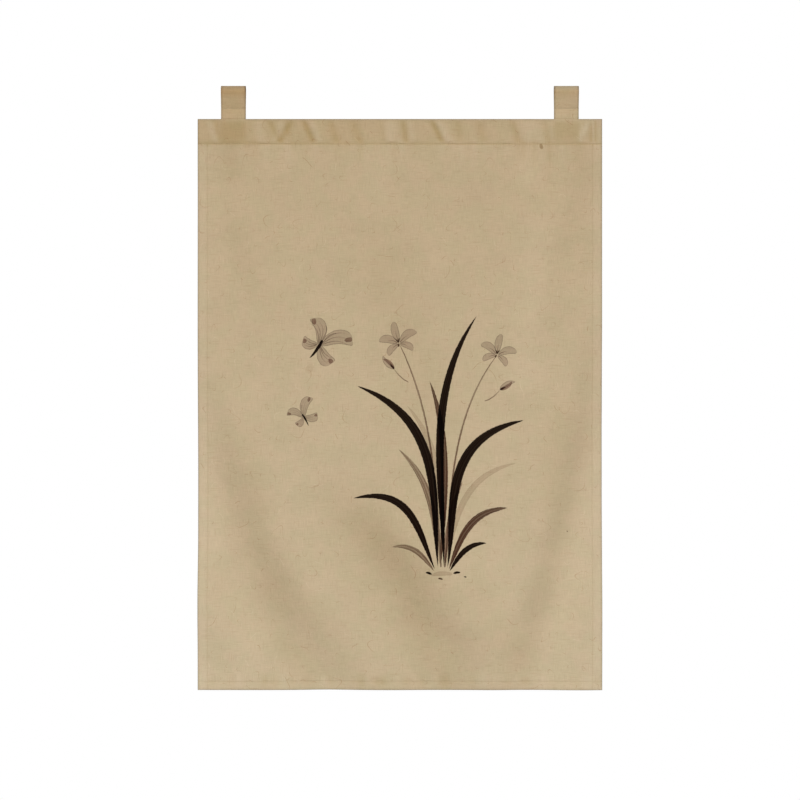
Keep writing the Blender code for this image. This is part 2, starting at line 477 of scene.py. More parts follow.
def meets(reach, low, high):
    """Whether a stroke's corners overlap a patch."""
    return all(reach[0][i] < high[i] and reach[1][i] > low[i] for i in (0, 1))


# The linen. It is a plain weave of unevenly spun yarn, mottled from olive to pinkish tan, with darker
# plant fibres caught in it. Its effects are node groups, because the panel, the straps and the print
# all use them. They take places on the cloth in metres, across and up, from the "cloth" attribute.
def feed(tree, socket, source):
    """Gives a socket another node's output or a plain value."""
    if isinstance(source, bpy.types.NodeSocket):
        tree.links.new(source, socket)
    else:
        socket.default_value = source


def calc(tree, operation, *sources):
    """A number worked out from others."""
    node = tree.nodes.new("ShaderNodeMath")
    node.operation = operation
    for socket, source in zip(node.inputs, sources):
        feed(tree, socket, source)
    return node.outputs[0]


def calc_vector(tree, operation, *sources):
    """A vector, or the number that a dot product gives, worked out from vectors."""
    node = tree.nodes.new("ShaderNodeVectorMath")
    node.operation = operation
    sockets = [node.inputs[0], node.inputs["Scale"]] if operation == "SCALE" else node.inputs
    for socket, source in zip(sockets, sources):
        feed(tree, socket, source)
    return node.outputs["Value" if operation == "DOT_PRODUCT" else "Vector"]


def ramp(tree, value, start, end):
    """A number that goes smoothly from 0 to 1 as value goes from start to end."""
    node = tree.nodes.new("ShaderNodeMapRange")
    node.interpolation_type = "SMOOTHSTEP"
    node.clamp = False
    for socket, source in zip(node.inputs, (value, start, end)):
        feed(tree, socket, source)
    return node.outputs[0]


def blended(tree, share, first, second, blend="MIX"):
    """A colour between two others, or the second laid over the first."""
    node = tree.nodes.new("ShaderNodeMix")
    node.data_type = "RGBA"
    node.blend_type = blend
    for socket, source in zip((node.inputs[0], node.inputs[6], node.inputs[7]), (share, first, second)):
        feed(tree, socket, source)
    return node.outputs[2]


def noise(tree, place, scale, detail, dimensions="2D"):
    """Soft noise in features of about 1 / scale, as a number and as a colour."""
    node = tree.nodes.new("ShaderNodeTexNoise")
    node.noise_dimensions = dimensions
    feed(tree, node.inputs["Vector"], place)
    node.inputs["Scale"].default_value = scale
    node.inputs["Detail"].default_value = detail
    return node.outputs[0], node.outputs[1]


def line_noise(tree, place):
    """Noise along a line, for streaks."""
    node = tree.nodes.new("ShaderNodeTexNoise")
    node.noise_dimensions = "1D"
    feed(tree, node.inputs["W"], place)
    node.inputs["Scale"].default_value = 1.0
    node.inputs["Detail"].default_value = 1.0
    return node.outputs[0]


def new_group(name, takes, gives):
    """A shader node group with named inputs and outputs, and the sockets inside it."""
    group = bpy.data.node_groups.new(name, "ShaderNodeTree")
    for title, kind, value in takes:
        socket = group.interface.new_socket(name=title, in_out="INPUT", socket_type="NodeSocket" + kind)
        socket.default_value = value
    for title, kind in gives:
        group.interface.new_socket(name=title, in_out="OUTPUT", socket_type="NodeSocket" + kind)
    taken = group.nodes.new("NodeGroupInput").outputs
    given = group.nodes.new("NodeGroupOutput").inputs
    return group, taken, given


def place_group(tree, group, **values):
    """A group's node in a material, fed by its input names with spaces as underscores."""
    node = tree.nodes.new("ShaderNodeGroup")
    node.node_tree = group
    for title, source in values.items():
        feed(tree, node.inputs[title.replace("_", " ")], source)
    return node.outputs


YARN_SPACING = 0.0006
YARN_ROUNDNESS = 0.45
YARN_TONE_SCALE = 1300.0
SLUB_SCALE = 420.0


def weave_group():
    """A plain weave: its relief, and the tone of its yarns."""
    group, taken, given = new_group(
        "linen weave",
        [("Place", "Vector", (0.0, 0.0, 0.0)), ("Yarn spacing", "Float", YARN_SPACING)],
        [("Relief", "Float"), ("Tone", "Float"), ("Slubs", "Float")],
    )
    in_yarns = calc_vector(group, "SCALE", taken["Place"], calc(group, "DIVIDE", 1.0, taken["Yarn spacing"]))
    apart = group.nodes.new("ShaderNodeSeparateXYZ")
    feed(group, apart.inputs[0], in_yarns)
    across, up = apart.outputs[0], apart.outputs[1]
    crossing = calc(group, "ADD", calc(group, "FLOOR", across), calc(group, "FLOOR", up))
    upright_on_top = calc(group, "FLOORED_MODULO", crossing, 2.0)
    off_upright = calc(group, "MULTIPLY_ADD", calc(group, "FRACT", across), 2.0, -1.0)
    off_level = calc(group, "MULTIPLY_ADD", calc(group, "FRACT", up), 2.0, -1.0)
    square_upright = calc(group, "MULTIPLY", off_upright, off_upright)
    square_level = calc(group, "MULTIPLY", off_level, off_level)
    off_top = calc(group, "MULTIPLY_ADD", square_level, YARN_ROUNDNESS, square_upright)
    upright = calc(group, "SUBTRACT", 1.0, off_top)
    off_top = calc(group, "MULTIPLY_ADD", square_upright, YARN_ROUNDNESS, square_level)
    level = calc(group, "SUBTRACT", 1.0, off_top)
    difference = calc(group, "SUBTRACT", upright, level)
    feed(group, given["Relief"], calc(group, "MULTIPLY_ADD", difference, upright_on_top, level))

    tones = []
    for stretch in ((1.0, 0.035, 1.0), (0.035, 1.0, 1.0)):
        drawn_out = calc_vector(group, "MULTIPLY", taken["Place"], stretch)
        tones.append(noise(group, drawn_out, YARN_TONE_SCALE, 1.0)[0])
    feed(group, given["Tone"], calc(group, "MULTIPLY", calc(group, "ADD", *tones), 0.5))
    slubs = []
    for stretch, low in (((1.0, 0.10, 1.0), 0.62), ((0.07, 1.0, 1.0), 0.60)):
        drawn_out = calc_vector(group, "MULTIPLY", taken["Place"], stretch)
        thick = noise(group, drawn_out, SLUB_SCALE, 1.5)[0]
        slubs.append(ramp(group, thick, low, 0.80))
    feed(group, given["Slubs"], calc(group, "MAXIMUM", *slubs))
    return group


def mottle_group():
    """Soft patches of colour and light in washed, undyed cloth."""
    group, taken, given = new_group(
        "mottled linen",
        [
            ("Place", "Vector", (0.0, 0.0, 0.0)),
            ("Olive", "Color", (0.5, 0.5, 0.5, 1.0)),
            ("Pinkish", "Color", (0.5, 0.5, 0.5, 1.0)),
            ("Patch scale", "Float", 16.0),
            ("Unevenness", "Float", 0.1),
        ],
        [("Color", "Color")],
    )
    place = calc_vector(group, "SCALE", taken["Place"], taken["Patch scale"])
    hue = ramp(group, noise(group, place, 1.0, 3.0)[0], 0.36, 0.64)
    cloth = blended(group, hue, taken["Olive"], taken["Pinkish"])
    light = calc(group, "SUBTRACT", noise(group, place, 0.45, 4.0)[0], 0.5)
    bright = calc(group, "MULTIPLY_ADD", light, taken["Unevenness"], 1.0)
    feed(group, given["Color"], calc_vector(group, "SCALE", cloth, bright))
    return group


def fibre_group():
    """Short curved fibres strewn over the cloth, one at most in each cell of an uneven net."""
    group, taken, given = new_group(
        "strewn fibres",
        [
            ("Place", "Vector", (0.0, 0.0, 0.0)),
            ("Spacing", "Float", 0.05),
            ("Half length", "Float", 0.36),
            ("Half thickness", "Float", 0.006),
            ("Share", "Float", 0.6),
            ("Curl", "Float", 0.5),
        ],
        [("Mask", "Float")],
    )
    in_cells = calc_vector(group, "SCALE", taken["Place"], calc(group, "DIVIDE", 1.0, taken["Spacing"]))
    wander = calc_vector(group, "SUBTRACT", noise(group, in_cells, 3.0, 1.0)[1], (0.5, 0.5, 0.5))
    bent = calc_vector(group, "ADD", in_cells, calc_vector(group, "SCALE", wander, 0.14))
    cells = group.nodes.new("ShaderNodeTexVoronoi")
    cells.voronoi_dimensions = "2D"
    feed(group, cells.inputs["Vector"], bent)
    cells.inputs["Scale"].default_value = 1.0
    cells.inputs["Randomness"].default_value = 0.85
    chance = group.nodes.new("ShaderNodeSeparateColor")
    feed(group, chance.inputs[0], cells.outputs["Color"])
    turn = group.nodes.new("ShaderNodeVectorRotate")
    turn.rotation_type = "Z_AXIS"
    feed(group, turn.inputs["Vector"], calc_vector(group, "SUBTRACT", bent, cells.outputs["Position"]))
    feed(group, turn.inputs["Angle"], calc(group, "MULTIPLY", chance.outputs[0], 2.0 * math.pi))
    apart = group.nodes.new("ShaderNodeSeparateXYZ")
    feed(group, apart.inputs[0], turn.outputs[0])
    along = calc(group, "DIVIDE", apart.outputs[0], taken["Half length"])
    lean = calc(group, "MULTIPLY", calc(group, "SUBTRACT", chance.outputs[2], 0.5), taken["Curl"])
    arch = calc(group, "MULTIPLY", calc(group, "MULTIPLY", along, along), lean)
    off_line = calc(group, "ABSOLUTE", calc(group, "SUBTRACT", apart.outputs[1], arch))
    fine = calc(group, "DIVIDE", off_line, taken["Half thickness"])
    line = ramp(group, fine, 1.3, 0.4)
    ends = ramp(group, calc(group, "ABSOLUTE", along), 1.0, 0.6)
    there = calc(group, "LESS_THAN", chance.outputs[1], taken["Share"])
    feed(group, given["Mask"], calc(group, "MULTIPLY", calc(group, "MULTIPLY", line, ends), there))
    return group


def brush_group():
    """One brush stroke of ink on cloth: a curved blade that thickens and tapers."""
    group, taken, given = new_group(
        "brush stroke",
        [
            ("Tint", "Color", (1.0, 1.0, 1.0, 1.0)),
            ("Place", "Vector", (0.0, 0.0, 0.0)),
            ("Grain", "Float", 0.5),
            ("Start", "Vector", (0.0, 0.0, 0.0)),
            ("Direction", "Vector", (1.0, 0.0, 0.0)),
            ("Length", "Float", 0.1),
            ("Bend", "Float", 0.0),
            ("Swing", "Float", 0.0),
            ("Width", "Float", 0.01),
            ("Start power", "Float", 0.5),
            ("End power", "Float", 0.5),
            ("Ink", "Color", (0.0, 0.0, 0.0, 1.0)),
            ("Strength", "Float", 1.0),
            ("Rim", "Float", 0.3),
            ("Dryness", "Float", 0.3),
        ],
        [("Tint", "Color")],
    )
    from_start = calc_vector(group, "SUBTRACT", taken["Place"], taken["Start"])
    left = calc_vector(group, "CROSS_PRODUCT", (0.0, 0.0, 1.0), taken["Direction"])
    ahead = calc_vector(group, "DOT_PRODUCT", from_start, taken["Direction"])
    share = calc(group, "DIVIDE", ahead, taken["Length"])
    share = calc(group, "MINIMUM", calc(group, "MAXIMUM", share, 0.0), 1.0)
    rest = calc(group, "SUBTRACT", 1.0, share)
    hump = calc(group, "MULTIPLY", share, rest)
    past_middle = calc(group, "MULTIPLY_ADD", share, 2.0, -1.0)
    swung = calc(group, "MULTIPLY_ADD", past_middle, taken["Swing"], 1.0)
    four_bends = calc(group, "MULTIPLY", taken["Bend"], 4.0)
    arch = calc(group, "MULTIPLY", calc(group, "MULTIPLY", hump, swung), four_bends)
    aside = calc_vector(group, "DOT_PRODUCT", from_start, left)
    off_line = calc(group, "SUBTRACT", aside, calc(group, "MULTIPLY", arch, taken["Length"]))
    swing_slope = calc(group, "MULTIPLY", calc(group, "MULTIPLY", hump, taken["Swing"]), 2.0)
    slope = calc(group, "SUBTRACT", swing_slope, calc(group, "MULTIPLY", past_middle, swung))
    slope = calc(group, "MULTIPLY", slope, four_bends)
    upright = calc(group, "INVERSE_SQRT", calc(group, "MULTIPLY_ADD", slope, slope, 1.0))
    off_line = calc(group, "MULTIPLY", off_line, upright)
    swelling = calc(group, "POWER", share, taken["Start power"])
    tapering = calc(group, "POWER", rest, taken["End power"])
    width = calc(group, "MULTIPLY", calc(group, "MULTIPLY", swelling, tapering), taken["Width"])
    inside = calc(group, "SUBTRACT", width, calc(group, "ABSOLUTE", off_line))
    edge = ramp(group, inside, 0.0, 0.0011)
    streak_place = calc(group, "MULTIPLY_ADD", off_line, 650.0, calc(group, "MULTIPLY", ahead, 12.0))
    streaks = line_noise(group, streak_place)
    starved = ramp(group, calc(group, "MULTIPLY_ADD", share, 0.22, streaks), 0.50, 0.78)
    starved = calc(group, "MULTIPLY", starved, taken["Dryness"])
    starved = calc(group, "MULTIPLY", starved, calc(group, "ADD", taken["Grain"], 0.5))
    pooled = calc(group, "MULTIPLY", ramp(group, inside, 0.0022, 0.0006), taken["Rim"])
    spare = calc(group, "SUBTRACT", 1.0, taken["Strength"])
    loaded = calc(group, "MULTIPLY_ADD", spare, pooled, taken["Strength"])
    loaded = calc(group, "MULTIPLY", loaded, calc(group, "SUBTRACT", 1.0, starved))
    rim_ink = blended(group, calc(group, "MULTIPLY", pooled, 0.75), taken["Ink"], (0.0, 0.0, 0.0, 1.0))
    printed = blended(group, calc(group, "MULTIPLY", edge, loaded), taken["Tint"], rim_ink, "MULTIPLY")
    feed(group, given["Tint"], printed)
    return group


WEAVE = weave_group()
MOTTLE = mottle_group()
FIBRES = fibre_group()
BRUSH = brush_group()
OLIVE = (0.528, 0.439, 0.290, 1.0)
PINKISH = (0.548, 0.440, 0.298, 1.0)
PATCH_SCALE = 22.0
PATCH_CONTRAST = 0.07
YARN_CONTRAST = 0.38
# How much painted shade darkens the weave's hollows between its yarns.
PAINTED_HOLLOW_SHADE_LEVEL = 0.93
PAINTED_HOLLOW_SHADE_CONTRAST = 0.10
SLUB_STRENGTH = 0.18
LINEN_ROUGHNESS = 0.88
LINEN_GLOSS = 0.05
CRUMPLE_SCALE = 55.0
CRUMPLE_DEPTH = 0.0018
YARN_DEPTH = 0.00016
WAVER_SCALE = 160.0
WAVER_REACH = 0.0016
FIBRE_BROWN = (0.35, 0.20, 0.11, 1.0)
FIBRE_PALE = (0.78, 0.66, 0.50, 1.0)

# The kinds of fibre in the cloth: the spacing of their net in metres, their half length and half
# thickness as shares of it, the share of its cells that hold one, their curl, colour and strength.
Fibre = namedtuple("Fibre", "spacing half_length half_thickness share curl colour strength")
FIBRE_KINDS = (
    Fibre(0.110, 0.16, 0.0042, 0.60, 0.90, FIBRE_BROWN, 0.74),
    Fibre(0.062, 0.13, 0.0078, 0.60, 0.80, FIBRE_BROWN, 0.74),
    Fibre(0.034, 0.13, 0.0140, 0.55, 0.70, FIBRE_BROWN, 0.62),
    Fibre(0.052, 0.20, 0.0070, 0.40, 0.60, FIBRE_PALE, 0.34),
)


def brushed(tree, tint, place, grain, stroke):
    """The tint of a print with one more stroke on it."""
    start, end = stroke_line(stroke, 0.0), stroke_line(stroke, 1.0)
    direction = (end - start).normalized()
    start_power = stroke.taper * stroke.widest
    end_power = stroke.taper * (1.0 - stroke.widest)
    full = stroke.widest**start_power * (1.0 - stroke.widest) ** end_power
    return place_group(
        tree,
        BRUSH,
        Tint=tint,
        Place=place,
        Grain=grain,
        Start=(start.x, start.y, 0.0),
        Direction=(direction.x, direction.y, 0.0),
        Length=(end - start).length,
        Bend=stroke.bend,
        Swing=stroke.swing,
        Width=stroke.width * MM / full,
        Start_power=start_power,
        End_power=end_power,
        Ink=(*stroke.ink.colour, 1.0),
        Strength=stroke.ink.strength,
        Rim=stroke.ink.rim,
        Dryness=stroke.ink.dryness,
    )["Tint"]


def on_mesh(tree, name):
    """A vector that the mesh holds for each of its points."""
    node = tree.nodes.new("ShaderNodeAttribute")
    node.attribute_name = name
    return node.outputs["Vector"]


def bump(tree, height, strength, distance):
    """The relief that a height from 0 to 1 gives a surface."""
    node = tree.nodes.new("ShaderNodeBump")
    node.inputs["Strength"].default_value = strength
    node.inputs["Distance"].default_value = distance
    feed(tree, node.inputs["Height"], height)
    return node


def matt_material(name, roughness):
    """A material, its nodes, and the inputs of its surface."""
    material = bpy.data.materials.new(name)
    material.use_nodes = True
    surface = material.node_tree.nodes["Principled BSDF"].inputs
    surface["Roughness"].default_value = roughness
    return material, material.node_tree, surface


def linen(name, strokes=()):
    """Woven linen, with any strokes printed on it."""
    material, tree, surface = matt_material(name, LINEN_ROUGHNESS)
    surface["Specular IOR Level"].default_value = LINEN_GLOSS
    place = on_mesh(tree, "cloth")
    weave = place_group(tree, WEAVE, Place=place, Yarn_spacing=YARN_SPACING)
    cloth = place_group(
        tree,
        MOTTLE,
        Place=place,
        Olive=OLIVE,
        Pinkish=PINKISH,
        Patch_scale=PATCH_SCALE,
        Unevenness=PATCH_CONTRAST,
    )["Color"]
    yarn = calc(tree, "MULTIPLY_ADD", calc(tree, "SUBTRACT", weave["Tone"], 0.5), YARN_CONTRAST, 1.0)
    # Painted shade in the weave's hollows between yarns, and a slight painted highlight on their tops.
    painted_hollow_shade = calc(tree, "MULTIPLY_ADD", weave["Relief"], PAINTED_HOLLOW_SHADE_CONTRAST, PAINTED_HOLLOW_SHADE_LEVEL)
    cloth = calc_vector(tree, "SCALE", cloth, calc(tree, "MULTIPLY", yarn, painted_hollow_shade))
    cloth = blended(tree, calc(tree, "MULTIPLY", weave["Slubs"], SLUB_STRENGTH), cloth, FIBRE_BROWN)
    for kind in FIBRE_KINDS:
        moved = calc_vector(tree, "ADD", place, (kind.spacing * 7.3, kind.spacing * 3.1, 0.0))
        hairs = place_group(
            tree,
            FIBRES,
            Place=moved,
            Spacing=kind.spacing,
            Half_length=kind.half_length,
            Half_thickness=kind.half_thickness,
            Share=kind.share,
            Curl=kind.curl,
        )["Mask"]
        cloth = blended(tree, calc(tree, "MULTIPLY", hairs, kind.strength), cloth, kind.colour)
    if strokes:
        waver = calc_vector(tree, "SUBTRACT", noise(tree, place, WAVER_SCALE, 3.0)[1], (0.5, 0.5, 0.5))
        hand = calc_vector(tree, "ADD", place, calc_vector(tree, "SCALE", waver, WAVER_REACH))
        hand = calc_vector(tree, "MULTIPLY", hand, (1.0, 1.0, 0.0))
        print_tint = (1.0, 1.0, 1.0, 1.0)
        for stroke in strokes:
            print_tint = brushed(tree, print_tint, hand, weave["Relief"], stroke)
        cloth = blended(tree, 1.0, cloth, print_tint, "MULTIPLY")
    # The mesh's shade holds mostly painted shade and painted highlight, laid on the linen's colour.
    kept = calc_vector(tree, "SUBTRACT", (1.0, 1.0, 1.0), on_mesh(tree, "shade"))
    feed(tree, surface["Base Color"], calc_vector(tree, "MULTIPLY", cloth, kept))
    crumple = bump(tree, noise(tree, place, CRUMPLE_SCALE, 3.0)[0], 0.5, CRUMPLE_DEPTH)
    yarns = bump(tree, calc(tree, "ADD", weave["Relief"], weave["Slubs"]), 0.6, YARN_DEPTH)
    feed(tree, yarns.inputs["Normal"], crumple.outputs[0])
    feed(tree, surface["Normal"], yarns.outputs[0])
    return material


# The panel's cloth. It is woven from edge to edge and hemmed, so it is one mesh: a front and a back
# over the lie of the cloth, joined round rounded edges. The grid is fine at the seams and turned edges.
LONGEST_CELL = 0.0055
EDGE_STEPS = (0.0, 0.0003, 0.0007, 0.0011)
SEAM_STEPS = (-0.0018, -0.0010, -0.0005, 0.0, 0.0005, 0.0010, 0.0018, 0.0024, 0.0029, 0.0034)

# Its tone, most of it painted shade and painted highlight. Each cause takes a share of the linen's
# light away, or adds one where it is below zero. The share goes to red, green and blue in the
# proportions of a row of three.
WARM_SHADE = np.array((0.80, 1.00, 1.55))
FOLD_SHADE = np.array((0.20, 1.00, 1.50))
BAND_SHADE = np.array((0.90, 1.00, 1.28))
TOP_TO_FOOT_SHADE = np.array((0.40, 1.00, 1.75))
EVEN_SHADE = np.ones(3)
HEADING_PAINTED_SHADE = 0.064
HEADING_PAINTED_SHADE_PER_METRE_LEFT = 0.11
IN_SIDE_HEM = -0.020
NEAR_SIDE = -0.035
NEAR_TOP = -0.035
HEADING_SEAM_PAINTED_SHADE = 0.16
OTHER_SEAMS_PAINTED_SHADE = 0.04
SEAM_LOST_OVER_STRAP = 0.45
PAINTED_SHADE_PER_METRE_OF_CREASE = -65.0
PAINTED_STRAP_SHADOW = 0.092
PAINTED_SHADE_FACING_DOWN = 0.10
PAINTED_SHADE_AT_TOP = 0.045
PAINTED_SHADE_LESS_AT_FOOT = 0.070
EDGE_PAINTED_SHADE = 0.72


def seam_marks(hem):
    """Places that the grid needs near an edge with a hem, measured from the edge."""
    return [*EDGE_STEPS, *(hem + step for step in SEAM_STEPS)]


def filled_in(marks, longest):
    """All the marks in order, with even steps between them, none longer than the longest."""
    places = [marks[0]]
    for start, end in zip(marks, marks[1:]):
        count = math.ceil((end - start) / longest)
        places += [start + (end - start) * (step + 1) / count for step in range(count)]
    return np.array(places)


def cloth_shade(x, down):
    """How much darker than plain linen the panel is painted at each place, mostly as shade, in red, green
    and blue.
    """
    hem_blur, seam_width, seam_sag = 0.001, 0.0012, 0.0005
    side_reach, top_reach, edge_reach, strap_blur = 0.050, 0.008, 0.0015, 0.010
    off_side = PANEL_WIDTH / 2 - np.abs(x)
    in_heading = eased((HEADING_DEPTH - down) / hem_blur)
    in_side_hem = eased((np.abs(x) - SIDE_STITCHES) / hem_blur) * (1.0 - in_heading)
    # Painted shade: the doubled heading is darker, standing in for less light shining through it, and more
    # so to the left.
    warm = (HEADING_PAINTED_SHADE - HEADING_PAINTED_SHADE_PER_METRE_LEFT * x) * in_heading + IN_SIDE_HEM * in_side_hem
    warm = warm + NEAR_SIDE * fading(off_side, side_reach) + NEAR_TOP * fading(down, top_reach)

    # Painted shadow of the strap behind the heading: it shows least at the heading's top edge, and less
    # again above its seam.
    strap = over_strap(x, down, strap_blur)
    shows = (0.15 + 0.85 * eased(down / 0.012)) * (1.0 - 0.45 * eased((down - 0.034) / 0.014))
    # Painted shade in the troughs of the creases and gathers, painted highlight on their ridges, and the
    # strap's painted shadow.
    warm = warm + PAINTED_SHADE_PER_METRE_OF_CREASE * creases(x, down) * (1.0 - strap) + PAINTED_STRAP_SHADOW * strap * shows
    # Painted shade in the grooves that the stitches draw into the cloth.
    seam = np.where(down < HEADING_DEPTH + FLAT_BESIDE_SEAM, HEADING_SEAM_PAINTED_SHADE, OTHER_SEAMS_PAINTED_SHADE)
    seam = seam * bell(off_stitches(x, down - seam_sag), seam_width)
    warm = warm + seam * (1.0 - SEAM_LOST_OVER_STRAP * strap)
    causes = (
        (warm, WARM_SHADE),
        # Painted shade where the folds turn the cloth down to the floor.
        (PAINTED_SHADE_FACING_DOWN * facing_down(x, down), FOLD_SHADE),
        # Painted fold shade and painted highlights, in soft bands.
        (sum(painted_band_shade(band, x, down) for band in PAINTED_SHADE_BANDS), BAND_SHADE),
        # Painted shade: darker at the top, and lighter towards the foot.
        (PAINTED_SHADE_AT_TOP - PAINTED_SHADE_LESS_AT_FOOT * down / PANEL_DROP, TOP_TO_FOOT_SHADE),
        # Painted shade along the cut edges, where the hems turn.
        (EDGE_PAINTED_SHADE * fading(from_edge(x, down), edge_reach) * (1.0 - strap), EVEN_SHADE),
    )
    return sum(share[..., None] * proportions for share, proportions in causes)


def in_scene(name, data):
    """An object of the scene, from its mesh, lamp or camera."""
    added = bpy.data.objects.new(name, data)
    bpy.context.collection.objects.link(added)
    return added


def closed_cloth(name, front, back, place, shade):
    """A closed sheet from two grids of points, with its places on the cloth and its shade."""
    rows, columns = front.shape[:2]
    number = np.arange(rows * columns).reshape(rows, columns)
    cells = [number[:-1, :-1], number[1:, :-1], number[1:, 1:], number[:-1, 1:]]
    front_faces = np.stack(cells, -1).reshape(-1, 4)
    back_faces = front_faces[:, ::-1] + rows * columns
    ring = np.concatenate([number[0, :-1], number[:-1, -1], number[-1, :0:-1], number[:0:-1, 0]])
    onwards = np.roll(ring, -1)
    rim_faces = np.stack([ring, onwards, onwards + rows * columns, ring + rows * columns], -1)
    faces = np.concatenate([front_faces, back_faces, rim_faces])
    mesh = bpy.data.meshes.new(name)
    points = np.concatenate([front.reshape(-1, 3), back.reshape(-1, 3)])
    mesh.from_pydata(points.tolist(), [], faces.tolist())
    for title, values in (("cloth", place), ("shade", shade)):
        on_both_faces = np.concatenate([values.reshape(-1, 3)] * 2).astype(np.float32)
        held = mesh.attributes.new(title, "FLOAT_VECTOR", "POINT")
        held.data.foreach_set("vector", on_both_faces.ravel())
    mesh.shade_smooth()
    return in_scene(name, mesh)


def make_panel():
    """The panel's piece, with a material of its own for each printed patch of its front."""
    half = PANEL_WIDTH / 2
    side = [mark - half for mark in seam_marks(SIDE_HEM)]
    columns = filled_in([*side, *(-mark for mark in reversed(side))], LONGEST_CELL)
    foot = [PANEL_DROP - mark for mark in reversed(seam_marks(FOOT_HEM))]
    rows = filled_in([*seam_marks(HEADING_DEPTH), *foot], LONGEST_CELL)
    x, down = np.meshgrid(columns, rows)
    front_y, back_y = faces_of_cloth(x, down)
    z = TOP_EDGE - down
    place = np.stack([x, -down, np.zeros_like(x)], -1)
    front = np.stack([x, front_y, z], -1)
    back = np.stack([x, back_y, z], -1)
    panel = closed_cloth("panel_cloth", front, back, place, cloth_shade(x, down))
    panel.data.materials.append(linen("linen", FLECKS))

    middle = (place[:-1, :-1, :2] + place[1:, 1:, :2]) / 2
    patch = np.zeros(middle.shape[:2], np.int32)
    for title, strokes in (("orchid", CLUMP), ("butterflies", BUTTERFLIES)):
        low, high = reach_of(strokes)
        covered = ((middle > low) & (middle < high)).all(-1)
        patch[covered & (patch == 0)] = len(panel.data.materials)
        here = [stroke for stroke in (*CLUMP, *BUTTERFLIES, *FLECKS) if meets(reach_of([stroke]), low, high)]
        panel.data.materials.append(linen("linen printed with " + title, here))
    for face, number in zip(panel.data.polygons, patch.ravel().tolist()):
        face.material_index = number
    return panel


panel_cloth = make_panel()
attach(panel_cloth, "root")
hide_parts("panel")


# The sewing thread: a single row of lockstitch along each hem, in linen-coloured cotton. Each stitch
# is a short length of thread that dives into the cloth at both ends, so it shows on front and back.
STRAP = 0.0015
LAYER_GAP = 0.00008
STITCH_PITCH = 0.0034
STITCH_LENGTH = 0.0027
THREAD_RADIUS = 0.00026
THREAD_SIDES = 6
THREAD_COLOUR = (0.46, 0.37, 0.25)
THREAD_ROUGHNESS = 0.75
STRAND_SCALE = 1800.0
STRAND_DEPTH = 0.0001
StitchRing = namedtuple("StitchRing", "along lift thickness")
STITCH_RINGS = (
    StitchRing(-0.5, -1.1, 0.6),
    StitchRing(-0.34, -0.1, 1.0),
    StitchRing(0.0, 0.35, 1.0),
    StitchRing(0.34, -0.1, 1.0),
    StitchRing(0.5, -1.1, 0.6),
)


def thread_material():
    """Matt twisted cotton."""
    material, tree, surface = matt_material("cotton thread", THREAD_ROUGHNESS)
    object_place = tree.nodes.new("ShaderNodeTexCoord").outputs["Object"]
    strands = noise(tree, object_place, STRAND_SCALE, 2.0, "3D")[0]
    tone = calc(tree, "MULTIPLY_ADD", strands, 0.5, 0.75)
    feed(tree, surface["Base Color"], calc_vector(tree, "SCALE", THREAD_COLOUR, tone))
    feed(tree, surface["Normal"], bump(tree, strands, 0.4, STRAND_DEPTH).outputs[0])
    return material


THREAD = thread_material()


def stitched(name, middles, alongs, outwards):
    """All the stitches of some seams in one mesh, from their middles, directions and outward sides."""
    middles, alongs, outwards = (np.asarray(rows, float) for rows in (middles, alongs, outwards))
    alongs = alongs / np.linalg.norm(alongs, axis=1, keepdims=True)
    outwards = outwards / np.linalg.norm(outwards, axis=1, keepdims=True)
    beside = np.cross(alongs, outwards)
    points = []
    for ring in STITCH_RINGS:
        centre = middles + alongs * ring.along * STITCH_LENGTH + outwards * ring.lift * THREAD_RADIUS
        for side in range(THREAD_SIDES):
            turn = 2.0 * math.pi * side / THREAD_SIDES
            spoke = beside * math.cos(turn) + outwards * math.sin(turn)
            points.append(centre + spoke * THREAD_RADIUS * ring.thickness)
    points = np.stack(points, 1)
    per_stitch = points.shape[1]
    template = []
    for ring in range(len(STITCH_RINGS) - 1):
        for side in range(THREAD_SIDES):
            near, far = ring * THREAD_SIDES, (ring + 1) * THREAD_SIDES
            onwards = (side + 1) % THREAD_SIDES
            template.append((near + side, near + onwards, far + onwards, far + side))
    first_end = tuple(reversed(range(THREAD_SIDES)))
    last_end = tuple(range(per_stitch - THREAD_SIDES, per_stitch))
    faces = []
    for stitch in range(len(points)):
        start = stitch * per_stitch
        faces += [tuple(start + corner for corner in face) for face in (*template, first_end, last_end)]
    mesh = bpy.data.meshes.new(name)
    mesh.from_pydata(points.reshape(-1, 3).tolist(), [], faces)
    mesh.shade_smooth()
    mesh.materials.append(THREAD)
    piece = in_scene(name, mesh)
    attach(piece, "root")
    return piece


